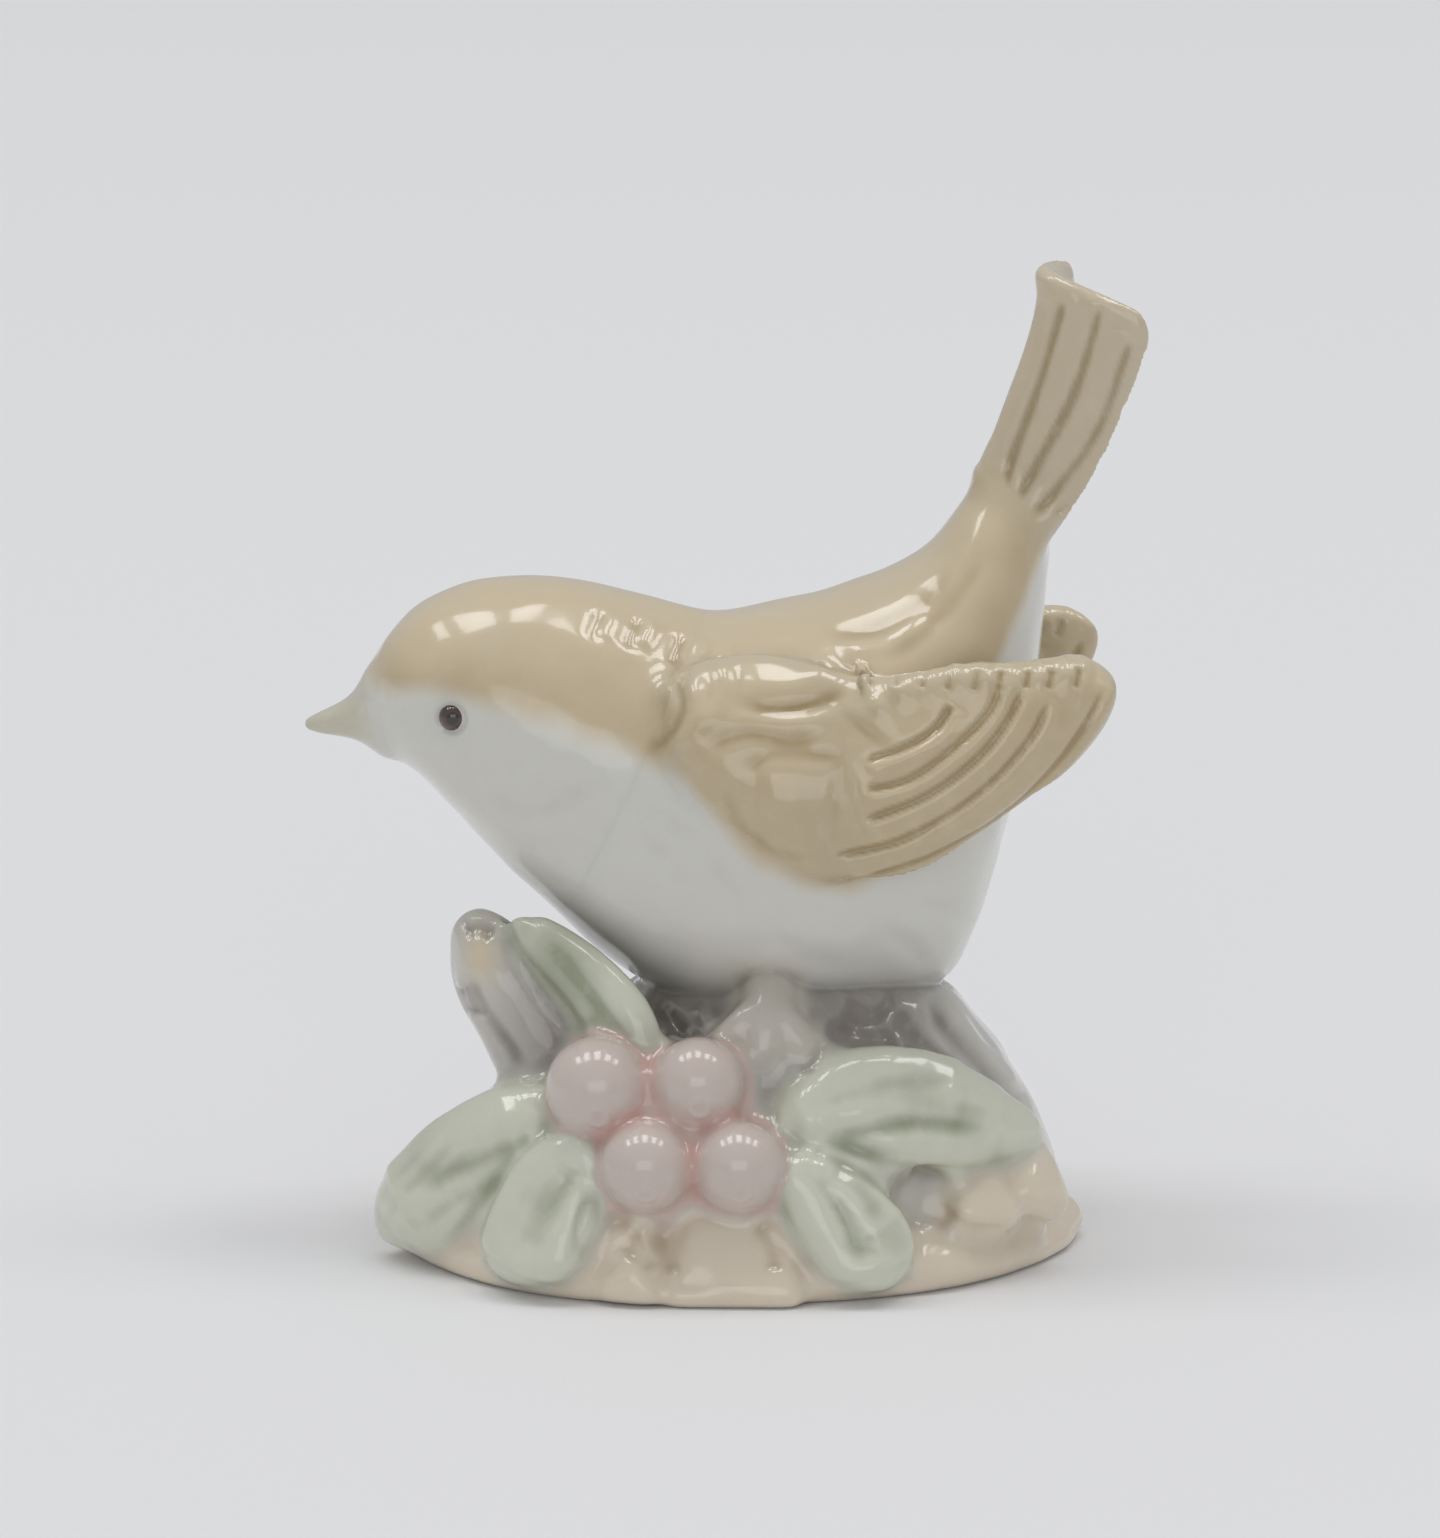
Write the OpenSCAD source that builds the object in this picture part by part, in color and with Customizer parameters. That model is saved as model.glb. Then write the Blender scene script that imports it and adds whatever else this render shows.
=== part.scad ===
// Porcelain songbird perched on a mossy stump among leaves and berries.
// Each piece is cast or pressed in clay by itself and luted to its neighbours face to face.
// Frame: +Z up, the bird looks along -X, its left side faces -Y, and it stands on z = 0.

/* [Bird] */
// Wall of the slip-cast head and body
wall = 2.6; // [2:0.1:3.2]
// Width of the bird as a share of its modelled width
plump = 1; // [0.94:0.01:1.06]
// Radius of each enamel eye bead
eye_r = 1.45; // [1.2:0.05:1.6]
// Thickness of the tail's feather plate
tail_thick = 2.6; // [2.2:0.1:3.2]
// Thickness of a wing plate at its middle
wing_thick = 3.4; // [2.8:0.1:4]
// Depth of the grooves between wing and tail feathers
feather_cut = 0.45; // [0.2:0.05:0.6]

/* [Base] */
// Share of the modelled footprint that the ground base takes
ground_spread = 1; // [0.97:0.01:1.01]
// Wall of the hollow stump
stump_wall = 3.4; // [3:0.1:4.5]
// Radius of the large upper left berry
berry_big_r = 5.15; // [4.8:0.05:5.15]
// Radius of the other three berries
berry_r = 4.5; // [4.2:0.05:4.5]
// Thickness of a leaf
leaf_thick = 3; // [2.4:0.1:3.4]
// Depth of the midrib and side veins of a leaf
vein_cut = 0.45; // [0.2:0.05:0.6]
// Radius of the firing vent in the underside
vent_r = 4; // [3:0.5:5]

/* [Hidden] */

around = 30;         // points round a barrel section
plate_around = 18;   // points round a plate section
stump_around = 36;   // points round the stump and the ground
skin_gap = 0.03;     // luted faces stay this far apart
ground_h = 7;        // top of the ground base, where the stump stands
air_hole_r = 1.5;    // lets air pass between body and stump while firing
air_hole_x = 6;
centre_shift = [0.71, 1.08, 0];   // brings the middle of the outline over the origin

white = [0.95, 0.95, 0.93];
fawn = [0.83, 0.74, 0.60];
horn = [0.72, 0.70, 0.63];
leaf_green = [0.68, 0.75, 0.62];
bark_grey = [0.66, 0.64, 0.67];
earth = [0.93, 0.85, 0.77];
berry_pink = [0.93, 0.84, 0.84];
enamel = [0.16, 0.09, 0.07];

// ---------- curves and lofts ----------

// Catmull-Rom value at u, which runs from 0 at the first row to len(rows) - 1 at the last
function spline(rows, u) =
    let (n = len(rows) - 1,
         i = max(0, min(floor(u), n - 1)),
         t = u - i,
         b = rows[i],
         c = rows[i + 1],
         a = i > 0 ? rows[i - 1] : 2 * b - c,
         d = i < n - 1 ? rows[i + 2] : 2 * c - b)
    0.5 * (2 * b + (c - a) * t + (2 * a - 5 * b + 4 * c - d) * t * t + (3 * b - a - 3 * c + d) * t * t * t);

// A spline sampled at n + 1 even steps between rows from and to
function samples(rows, from, to, n) = [for (k = [0:n]) spline(rows, from + (to - from) * k / n)];

function unit(v) = v / max(norm(v), 1e-9);

// A closed solid through rings of equal length, with flat ends
module loft(rings) {
    m = len(rings[0]);
    quarter = floor(m / 4);
    travel = rings[1][0] + rings[1][2 * quarter] - rings[0][0] - rings[0][2 * quarter];
    turn = cross(rings[0][quarter] - rings[0][0], rings[0][2 * quarter] - rings[0][quarter]) * travel;
    last = (len(rings) - 1) * m;
    sides = [for (i = [0:len(rings) - 2], j = [0:m - 1])
        let (a = i * m + j, b = i * m + (j + 1) % m)
        each [[a, b, b + m], [a, b + m, a + m]]];
    ends = [[for (j = [m - 1:-1:0]) j], [for (j = [0:m - 1]) last + j]];
    inward = concat(sides, ends);
    outward = [for (f = inward) [for (k = [len(f) - 1:-1:0]) f[k]]];
    polyhedron(points = [for (r = rings) each r], faces = turn > 0 ? outward : inward);
}

// A round-bottomed groove or a bead along points, from radius r at the first to r_end at the last
module bead(points, r, r_end = 0) {
    last = len(points) - 1;
    slope = (r_end > 0 ? r_end - r : 0) / last;
    for (i = [0:last - 1])
        hull() {
            translate(points[i]) sphere(r = r + slope * i, $fn = 6);
            translate(points[i + 1]) sphere(r = r + slope * (i + 1), $fn = 6);
        }
}

// ---------- plates: wings, tail and leaves ----------

// How full a plate is at u = 0 to 1, rounded off over its first and last shares of length
function fullness(u, first, last) =
    let (over = max(first > 0 ? (first - u) / first : 0, last > 0 ? (u - 1 + last) / last : 0, 0))
    max(0.15, sqrt(max(0, 1 - over * over)));

// A plate is [rows, thickness, arch, arch power, first and last rounding]
// A row is edge a, edge b and the direction the plate faces, as nine numbers
// Point of a plate at length share u, at c = 1 for edge a to -1 for edge b, at height s = 1 for the face
function plate_point(plate, u, c, s, raise = 0) =
    let (row = spline(plate[0], u * (len(plate[0]) - 1)),
         a = [row[0], row[1], row[2]],
         b = [row[3], row[4], row[5]],
         side = unit(a - b),
         face = [row[6], row[7], row[8]],
         out = unit(face - side * (face * side)),
         thick = plate[1] * fullness(u, plate[4], plate[5]))
    (a + b) / 2 + side * norm(a - b) / 2 * c + out * (thick / 2 * s + plate[2] * (1 - pow(abs(c), plate[3])) + raise);

function plate_rings(plate, n) =
    [for (k = [0:n])
        [for (j = [0:plate_around - 1])
            let (t = 360 * j / plate_around)
            plate_point(plate, k / n, cos(t), sin(t))]];

// Line on the face of a plate from [u, c] to [u, c], raised above or sunk below the surface
function plate_line(plate, from, to, n, raise = 0) =
    [for (k = [0:n])
        let (p = from + (to - from) * k / n)
        plate_point(plate, p[0], p[1], sqrt(max(0, 1 - p[1] * p[1])), raise)];

// ---------- bird ----------

// A section of the bird: [back x, back z, belly x, belly z, half width, how low the width sits]
bird = [
    [-36.6, 59.0, -35.2, 51.6, 3.4, 0.0],
    [-36.2, 61.3, -33.9, 51.0, 6.0, 0.0],
    [-34.2, 64.6, -32.0, 49.6, 8.6, 0.0],
    [-30.6, 67.4, -29.6, 47.2, 10.5, 0.0],
    [-25.4, 69.2, -27.0, 44.4, 11.8, 0.03],
    [-18.4, 69.6, -24.2, 41.2, 12.9, 0.06],
    [-10.4, 68.1, -21.0, 38.0, 14.1, 0.08],
    [-2.5, 65.9, -17.4, 34.6, 15.4, 0.1],
    [1.5, 66.2, -13.4, 31.0, 16.9, 0.12],
    [5.0, 66.9, -8.6, 27.6, 18.2, 0.12],
    [8.6, 67.8, -3.0, 25.6, 19.1, 0.1],
    [12.0, 68.8, 3.4, 24.9, 19.4, 0.08],
    [15.2, 69.9, 10.0, 25.3, 19.0, 0.05],
    [18.0, 71.2, 16.6, 26.3, 17.8, 0.02],
    [20.4, 73.0, 22.6, 27.6, 15.8, 0.0],
    [22.2, 75.0, 26.2, 36.0, 14.0, 0.0],
    [23.4, 76.9, 28.8, 46.0, 12.0, 0.0],
    [24.4, 78.5, 31.2, 57.0, 9.6, 0.0],
    [25.1, 79.6, 32.2, 66.5, 7.2, 0.0],
    [25.9, 80.8, 33.0, 74.2, 5.2, 0.0],
];
neck_row = 7;
tail_row = len(bird) - 1;

// Point of a section at angle a from the back, drawn in by inset
function bird_point(row, a, inset = 0) =
    let (top = [row[0], 0, row[1]],
         low = [row[2], 0, row[3]],
         h = norm(top - low) / 2 - inset,
         w = row[4] * plump - inset)
    (top + low) / 2 + unit(top - low) * h * cos(a) + [0, w * sin(a) * (1 - row[5] * cos(a)), 0];

function bird_rings(from, to, n, inset = 0) =
    [for (row = samples(bird, from, to, n))
        [for (j = [0:around - 1]) bird_point(row, 360 * j / around, inset)]];

module body_solid() {
    loft(bird_rings(neck_row, tail_row, 22));
}

// Lines between the tufts of plumage: [section, angle] from, through and to, on the left side
plumage = [
    [[8.3, 38], [10.4, 34], [12.2, 42]],
    [[8.8, 52], [10.6, 46], [12.0, 52]],
    [[7.6, 96], [8.4, 106], [9.6, 112]],
    [[8.2, 122], [9.4, 126], [10.8, 136]],
    [[14.0, 118], [15.2, 122], [16.4, 130]],
    [[14.2, 142], [15.2, 148], [16.2, 156]],
];
plumage_r = 0.7;
plumage_cut = 0.3;

module body_shell() {
    outer = bird_rings(tail_row, neck_row, 22);
    inner = bird_rings(neck_row, tail_row - 2.5, 8, wall);
    color(white)
        difference() {
            loft(concat(outer, inner));
            for (line = plumage, side = [-1, 1])
                bead([for (p = line) bird_point(spline(bird, p[0]), side * p[1], plumage_cut - plumage_r)], plumage_r);
            translate([air_hole_x, 0, 20]) cylinder(r = air_hole_r, h = 12, $fn = 16);
        }
}

nape_barbs = 6;   // notches between the feather tips round each side of the nape

module head_shell() {
    outer = bird_rings(0, neck_row, 16);
    inner = bird_rings(neck_row, 1.5, 6, wall);
    color(fawn)
        difference() {
            loft(concat(outer, inner));
            for (side = [-1, 1]) eye_bead(side, skin_gap);
            for (k = [0:nape_barbs - 1], side = [-1, 1]) {
                a = side * (6 + 84 * k / nape_barbs);
                bead([bird_point(spline(bird, neck_row - 0.8), a, -0.55), bird_point(bird[neck_row], a, -0.2)], 0.6);
            }
        }
}

beak_rows = [
    [-36.6, 59.0, -35.2, 51.6, 3.4, 0.0],
    [-38.2, 57.3, -37.4, 52.6, 2.4, 0.0],
    [-40.0, 56.2, -39.6, 53.1, 1.7, 0.0],
    [-41.9, 55.3, -41.8, 53.4, 1.05, 0.0],
    [-43.4, 54.6, -43.4, 53.8, 0.42, 0.0],
];

module beak() {
    rings = [for (row = samples(beak_rows, 0, len(beak_rows) - 1, 12))
        [for (j = [0:around - 1]) bird_point(row, 360 * j / around)]];
    color(horn)
        difference() {
            loft(rings);
            for (side = [-1, 1])
                bead([for (k = [0:4]) bird_point(spline(beak_rows, 0.2 + 0.7 * k), side * 98, -0.35)], 0.45);
        }
}

eye_place = [-27.8, 10.0, 56.8];

module eye_bead(side, extra = 0) {
    translate([eye_place.x, side * eye_place.y, eye_place.z]) sphere(r = eye_r + extra, $fn = 24);
}

// Left wing: upper edge, lower edge and outward face, from the shoulder to the tip
wing_rows = [
    [-5.0, -12.4, 60.4, -5.6, -15.4, 56.0, -0.3, -1, 0.1],
    [-2.4, -12.2, 63.0, -2.6, -17.6, 50.6, -0.1, -1, 0.2],
    [3.4, -12.8, 63.5, 3.4, -19.0, 46.0, 0, -1, 0.25],
    [10.0, -14.2, 62.4, 10.6, -19.8, 41.9, 0, -1, 0.2],
    [17.0, -16.0, 62.2, 17.2, -20.0, 42.2, 0.1, -1, 0.1],
    [24.0, -16.8, 63.4, 23.2, -18.8, 45.0, 0.2, -1, 0.1],
    [31.0, -15.5, 63.5, 29.7, -16.9, 49.6, 0.25, -1, 0.1],
    [36.0, -14.3, 63.4, 34.7, -15.5, 53.4, 0.25, -1, 0.1],
    [38.9, -13.7, 61.8, 38.0, -14.3, 57.8, 0.25, -1, 0.1],
];
// Grooves between the flight feathers: from [length share, height share] to [length share, height share]
wing_grooves = [
    [[0.40, -0.90], [0.95, -0.35]],
    [[0.38, -0.68], [0.87, 0.25]],
    [[0.43, -0.40], [0.78, 0.38]],
    [[0.43, -0.10], [0.71, 0.55]],
    [[0.43, 0.20], [0.62, 0.62]],
];
wing_coverts = 7;   // rounded feather roots along the upper edge

module wing_piece() {
    plate = [wing_rows, wing_thick, 1.5, 2, 0.3, 0.12];
    color(fawn)
        difference() {
            union() {
                loft(plate_rings(plate, 18));
                for (i = [0:wing_coverts - 1]) {
                    u = 0.52 + 0.06 * i;
                    bead(plate_line(plate, [u, 0.86], [u - 0.02, 0.5], 2, -0.75), 1.2, 0.9);
                }
            }
            for (g = wing_grooves)
                bead(plate_line(plate, g[0], g[1], 5, 0.7 - feather_cut), 0.7);
            body_solid();
        }
}

// Tail: far edge, near edge and the way the roof of feathers faces, from rump to tip
tail_rows = [
    [31.6, 4.4, 75.4, 32.2, -4.4, 74.9, -0.75, 0, 0.66],
    [33.0, 4.7, 79.0, 34.6, -5.0, 78.0, -0.86, 0.1, 0.5],
    [34.2, 5.2, 85.2, 38.0, -6.0, 85.2, -0.92, 0.2, 0.36],
    [35.0, 5.8, 91.4, 40.8, -6.5, 91.4, -0.92, 0.3, 0.34],
    [35.6, 6.4, 97.0, 42.0, -6.8, 95.0, -0.92, 0.3, 0.34],
    [35.6, 6.4, 101.4, 41.4, -6.6, 97.8, -0.92, 0.3, 0.3],
];
tail_feathers = [-0.78, -0.52, -0.26, 0.3, 0.56, 0.8];

module tail() {
    plate = [tail_rows, tail_thick, 6.6, 1.5, 0, 0.1];
    color(fawn)
        difference() {
            loft(plate_rings(plate, 14));
            for (c = tail_feathers)
                bead(plate_line(plate, [0.16, 0.9 * c], [0.92, c], 5, 0.7 - feather_cut), 0.7);
            body_solid();
        }
}

// A foot: a short shank out of the belly and three toes over the bark
module foot(side) {
    ankle = [4, side * 15.4, 28];
    toes = [[-0.8, 17.6, 25.0], [3.4, 18.6, 24.2], [7.4, 17.6, 25.0]];
    color(earth)
        difference() {
            union() {
                hull() {
                    translate([4, side * 12, 31]) sphere(r = 2.6, $fn = 16);
                    translate(ankle) sphere(r = 2.1, $fn = 16);
                }
                for (toe = toes) {
                    tip = [toe.x, side * toe.y, toe.z];
                    bead([ankle, (ankle + tip) / 2 + [0, side * 0.7, 0.8], tip], 1.35);
                }
            }
            body_solid();
            stump_solid();
            for (i = [0:3]) berry_ball(i, skin_gap);
            for (toe = toes)
                bead([[toe.x, side * (toe.y + 1.4), toe.z + 0.6], [toe.x, side * (toe.y + 1.6), toe.z - 1]], 0.4);
        }
}

// ---------- base ----------

// Radius of the ground's footprint at each 30 degrees, counter-clockwise from +X
footprint = [37.0, 33.4, 29.0, 26.8, 28.6, 32.8, 35.2, 32.8, 30.2, 27.6, 29.4, 33.2, 37.0, 33.4];

function foot_radius(a) = spline([for (r = footprint) [r]], a / 30)[0] * ground_spread;

// Ground levels: [height, share of the footprint]
ground_levels = [[0, 0.97], [0.7, 1.0], [2.2, 1.0], [3.8, 0.965], [5.2, 0.91], [6.3, 0.84], [ground_h, 0.76]];

function ground_point(a, level) =
    let (r = foot_radius(a) * level[1] * (1 + 0.012 * sin(7 * a) * (level[0] > 1 ? 1 : 0)))
    [r * cos(a), r * sin(a), level[0]];

// Soft creases pressed into the ground's rim: [angle, level, angle, level]
creases = [[318, 3, 352, 4], [322, 5, 350, 5.4], [30, 3, 70, 5], [120, 4, 160, 5]];

module ground_base() {
    color(earth)
        difference() {
            loft([for (level = ground_levels)
                [for (j = [0:stump_around - 1]) ground_point(360 * j / stump_around, level)]]);
            translate([stump_levels[0][1], 0, -1]) cylinder(r = vent_r, h = ground_h + 2, $fn = 32);
            for (c = creases)
                bead([for (k = [0:3])
                    ground_point(c[0] + (c[2] - c[0]) * k / 3, spline(ground_levels, c[1] + (c[3] - c[1]) * k / 3))], 0.5);
            stones(skin_gap);
        }
}

// Stump levels: [height, middle x, half width, half depth]
stump_levels = [
    [ground_h, 4.5, 28.6, 22.4],
    [11, 5.2, 27.2, 21.8],
    [15, 6.0, 25.0, 20.8],
    [19, 6.4, 22.4, 19.8],
    [23, 6.4, 19.4, 18.2],
    [26.5, 6.4, 17.0, 15.6],
    [29, 6.4, 14.0, 12.4],
];

// Bark swells the stump's sides in rounded ribs that lean with height
function bark(a, z) = 1 + 0.03 * cos(5 * a + 5 * z) + 0.015 * cos(9 * a - 4 * z + 40);

function stump_point(level, a, inset = 0) =
    [level[1] + (level[2] * bark(a, level[0]) - inset) * cos(a),
     (level[3] * bark(a, level[0]) - inset) * sin(a),
     level[0]];

function stump_rings(from, to, n, inset = 0) =
    [for (level = samples(stump_levels, from, to, n))
        [for (j = [0:stump_around - 1]) stump_point(level, 360 * j / stump_around, inset)]];

module stump_solid() {
    loft(stump_rings(0, len(stump_levels) - 1, 8));
}

// Bark furrows: [angle at the root, angle at the top, first level, last level]
furrows = [[8, 22, 0.3, 5], [40, 50, 0.6, 5.4], [72, 74, 0.2, 4.6], [104, 100, 0.8, 5.4], [138, 126, 0.3, 5],
           [168, 158, 0.8, 5.2], [318, 296, 0.8, 5.4], [342, 322, 0.5, 5.2]];

module stump() {
    top = len(stump_levels) - 1;
    color(bark_grey)
        difference() {
            loft(concat(stump_rings(top, 0, 8), stump_rings(0, top - 1.6, 4, stump_wall)));
            for (f = furrows)
                bead([for (k = [0:3])
                    stump_point(spline(stump_levels, f[2] + (f[3] - f[2]) * k / 3), f[0] + (f[1] - f[0]) * k / 3, -0.4)], 1.1);
            translate([air_hole_x, 0, 20]) cylinder(r = air_hole_r, h = 12, $fn = 16);
            body_solid();
            for (i = [0:3]) berry_ball(i, skin_gap);
            stones(skin_gap);
        }
}

// Branch stub: [x, y, z, radius] from the stump to the broken end
stub_rows = [
    [-12.0, -8.0, 14.5, 7.0],
    [-17.8, -8.0, 21.2, 5.9],
    [-21.1, -7.6, 26.2, 5.2],
    [-23.6, -7.0, 30.2, 4.5],
    [-25.2, -6.4, 33.0, 3.2],
];

module branch_stub() {
    rows = samples(stub_rows, 0, len(stub_rows) - 1, 8);
    color(bark_grey)
        difference() {
            for (i = [0:len(rows) - 2])
                hull()
                    for (row = [rows[i], rows[i + 1]])
                        translate([row[0], row[1], row[2]]) sphere(r = row[3], $fn = 16);
            translate([-28.2, -9, 36.6]) rotate([0, -24, 0]) cube([9, 10, 3], center = true);
            for (i = [0:3]) berry_ball(i, skin_gap);
            stump_solid();
            body_solid();
        }
}

// A leaf: a thick plate with a midrib and side veins, pressed on to the stump and the ground
module leaf(rows, arch = 0.8) {
    plate = [rows, leaf_thick, arch, 2, 0.25, 0.25];
    color(leaf_green)
        difference() {
            loft(plate_rings(plate, 10));
            bead(plate_line(plate, [0.06, 0], [0.9, 0], 5, 0.8 - vein_cut), 0.8);
            for (c = [-0.5, 0.5])
                bead(plate_line(plate, [0.15, 0.6 * c], [0.82, c], 4, 0.7 - 0.6 * vein_cut), 0.7);
            for (i = [0:3]) berry_ball(i, skin_gap);
            stump_solid();
            body_solid();
        }
}

// Leaf rows: edge a, edge b and the way the leaf faces, from stalk to tip
upper_leaf_rows = [
    [-9.4, -17.4, 21.2, -6.4, -18.4, 23.0, -0.3, -1, 0.2],
    [-14.0, -15.0, 25.8, -7.8, -17.6, 28.0, -0.4, -1, 0.1],
    [-18.0, -12.4, 30.4, -11.4, -15.2, 32.2, -0.4, -1, 0.1],
    [-21.6, -10.2, 34.2, -15.9, -11.8, 35.0, -0.4, -1, 0.3],
    [-22.4, -9.4, 36.0, -19.4, -10.2, 36.2, -0.4, -1, 0.4],
];
left_leaf_rows = [
    [-17.0, -15.5, 20.4, -13.6, -19.4, 17.0, -0.4, -0.8, 0.7],
    [-25.4, -12.0, 17.6, -19.6, -19.2, 14.4, -0.5, -0.7, 0.7],
    [-31.8, -8.5, 12.4, -25.0, -19.0, 9.4, -0.7, -0.6, 0.6],
    [-35.8, -6.6, 6.2, -28.6, -16.6, 4.6, -0.8, -0.6, 0.4],
    [-35.8, -7.0, 1.7, -30.4, -13.0, 1.4, -0.8, -0.6, 0.2],
];
front_left_leaf_rows = [
    [-14.2, -20.2, 17.0, -12.2, -22.6, 15.4, -0.2, -1, 0.6],
    [-19.6, -20.6, 14.6, -12.8, -24.6, 11.6, -0.3, -1, 0.6],
    [-23.2, -21.0, 9.2, -14.4, -26.2, 6.6, -0.4, -1, 0.4],
    [-24.6, -20.8, 4.2, -16.4, -26.4, 3.2, -0.5, -1, 0.2],
    [-22.6, -21.4, 1.5, -19.4, -24.2, 1.4, -0.5, -1, 0.2],
];
front_right_leaf_rows = [
    [6.0, -23.0, 15.4, 4.6, -24.4, 13.2, 0.1, -1, 0.6],
    [12.0, -23.6, 13.4, 6.0, -25.8, 9.6, 0.1, -1, 0.5],
    [17.2, -24.0, 8.6, 8.2, -26.8, 6.0, 0.2, -1, 0.4],
    [18.4, -24.4, 4.0, 10.6, -27.0, 3.2, 0.2, -1, 0.3],
    [16.2, -25.4, 1.6, 13.4, -26.2, 1.5, 0.2, -1, 0.2],
];
right_leaf_rows = [
    [5.4, -20.4, 19.4, 5.0, -22.8, 16.6, 0.1, -1, 0.4],
    [10.0, -18.6, 23.0, 10.4, -22.4, 15.2, 0.1, -1, 0.4],
    [16.0, -17.0, 24.4, 16.4, -22.0, 13.8, 0.2, -1, 0.4],
    [22.6, -14.8, 22.4, 22.6, -19.8, 13.0, 0.4, -1, 0.4],
    [28.6, -12.4, 17.8, 28.4, -15.8, 12.6, 0.6, -1, 0.4],
    [31.6, -11.4, 14.6, 31.4, -12.8, 12.8, 0.6, -1, 0.4],
];

// Berries: [x, y, z, radius]
berries = [
    [-13.2, -20.0, 20.8, berry_big_r],
    [-3.1, -21.0, 21.6, berry_r],
    [-8.4, -24.5, 13.8, berry_r],
    [1.0, -24.5, 13.8, berry_r],
];

module berry_ball(i, extra = 0) {
    translate([berries[i][0], berries[i][1], berries[i][2]])
        sphere(r = berries[i][3] + extra, $fn = 24);
}

// Stones: rounded corner points and corner radius of each
front_stone_points = [[-3.0, -24.4, 7.2], [4.2, -24.4, 7.2], [-5.2, -27.0, 1.2], [6.2, -27.2, 1.2], [-3.5, -21, 5], [4, -21, 5]];
chip_upper_points = [[-9.4, -24.6, 8.0], [-12.0, -24.8, 5.2], [-8.0, -26.0, 5.0], [-10.0, -22.0, 5.0]];
chip_lower_points = [[-9.6, -27.0, 3.6], [-12.0, -26.6, 1.6], [-8.2, -27.4, 1.4], [-10.0, -23.0, 2.0]];
pebble_large_points = [[31.0, -13.0, 10.8], [30.0, -15.4, 9.0], [32.4, -12.6, 7.4], [28.8, -11.0, 8.0]];
pebble_small_points = [[25.8, -17.0, 9.4], [24.0, -19.0, 7.6], [27.4, -17.6, 7.0], [24.4, -15.0, 8.0]];

module stone(points, r, extra = 0) {
    hull()
        for (p = points)
            translate(p) sphere(r = r + extra, $fn = 12);
}

module stones(extra = 0) {
    stone(front_stone_points, 1.1, extra);
    stone(chip_upper_points, 0.9, extra);
    stone(chip_lower_points, 0.8, extra);
    stone(pebble_large_points, 2.2, extra);
    stone(pebble_small_points, 1.8, extra);
}

// Sets a piece in its place over the origin
module place() {
    translate(centre_shift) children();
}

place() body_shell();
place() head_shell();
place() beak();
place() color(enamel) eye_bead(-1);  // left_eye
place() color(enamel) eye_bead(1);  // right_eye
place() wing_piece();  // left_wing
place() mirror([0, 1, 0]) wing_piece();  // right_wing
place() tail();
place() foot(-1);  // left_foot
place() foot(1);  // right_foot
place() ground_base();
place() stump();
place() branch_stub();
place() leaf(upper_leaf_rows);  // upper_leaf
place() leaf(left_leaf_rows);  // left_leaf
place() leaf(front_left_leaf_rows);  // front_left_leaf
place() leaf(front_right_leaf_rows);  // front_right_leaf
place() leaf(right_leaf_rows);  // right_leaf
place() color(berry_pink) berry_ball(0);  // berry_upper_left
place() color(berry_pink) berry_ball(1);  // berry_upper_right
place() color(berry_pink) berry_ball(2);  // berry_lower_left
place() color(berry_pink) berry_ball(3);  // berry_lower_right
place() color(earth) stone(front_stone_points, 1.1);  // front_stone
place() color(earth) stone(chip_upper_points, 0.9);  // stone_chip_upper
place() color(earth) stone(chip_lower_points, 0.8);  // stone_chip_lower
place() color(earth) stone(pebble_large_points, 2.2);  // pebble_large
place() color(earth) stone(pebble_small_points, 1.8);  // pebble_small
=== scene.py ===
"""Porcelain songbird on a stump, as one glazed skin cut into the pieces it is made of.

The CAD pieces are turned into distance fields on one lattice, softened, and melted together as glaze does.
The skin of that solid is sculpted with feather, leaf and bark relief, painted with airbrushed masks and painted shade,
and cut along the joints, so that each CAD node has its own closed piece and no seam shows.
Lengths are in millimetres until a mesh is made, which is in metres.
"""
import math

import bmesh
import bpy
import numpy as np
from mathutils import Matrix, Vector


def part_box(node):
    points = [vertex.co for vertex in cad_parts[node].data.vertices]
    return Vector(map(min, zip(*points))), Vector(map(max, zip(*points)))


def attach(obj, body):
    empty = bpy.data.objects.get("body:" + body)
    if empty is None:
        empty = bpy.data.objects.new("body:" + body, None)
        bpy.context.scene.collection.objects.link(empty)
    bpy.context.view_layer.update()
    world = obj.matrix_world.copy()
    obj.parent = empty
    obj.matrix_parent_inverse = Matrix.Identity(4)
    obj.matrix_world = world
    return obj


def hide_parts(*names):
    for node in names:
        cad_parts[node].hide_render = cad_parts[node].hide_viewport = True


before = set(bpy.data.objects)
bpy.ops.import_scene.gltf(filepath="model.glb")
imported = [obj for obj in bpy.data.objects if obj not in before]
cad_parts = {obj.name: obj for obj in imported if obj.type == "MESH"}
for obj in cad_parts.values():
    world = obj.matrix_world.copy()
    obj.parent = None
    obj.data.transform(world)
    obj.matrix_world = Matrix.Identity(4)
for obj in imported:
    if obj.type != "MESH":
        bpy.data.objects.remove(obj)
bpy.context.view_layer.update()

import openvdb

MM = 1000.0
PITCH = 0.3                       # lattice spacing
BAND = 16                         # cells kept on each side of a surface
CENTRE = np.array([0.71, 1.08, 0.0])   # the bird's middle plane and the stump's axis in the row frame


# ---------- distance fields ----------

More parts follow.
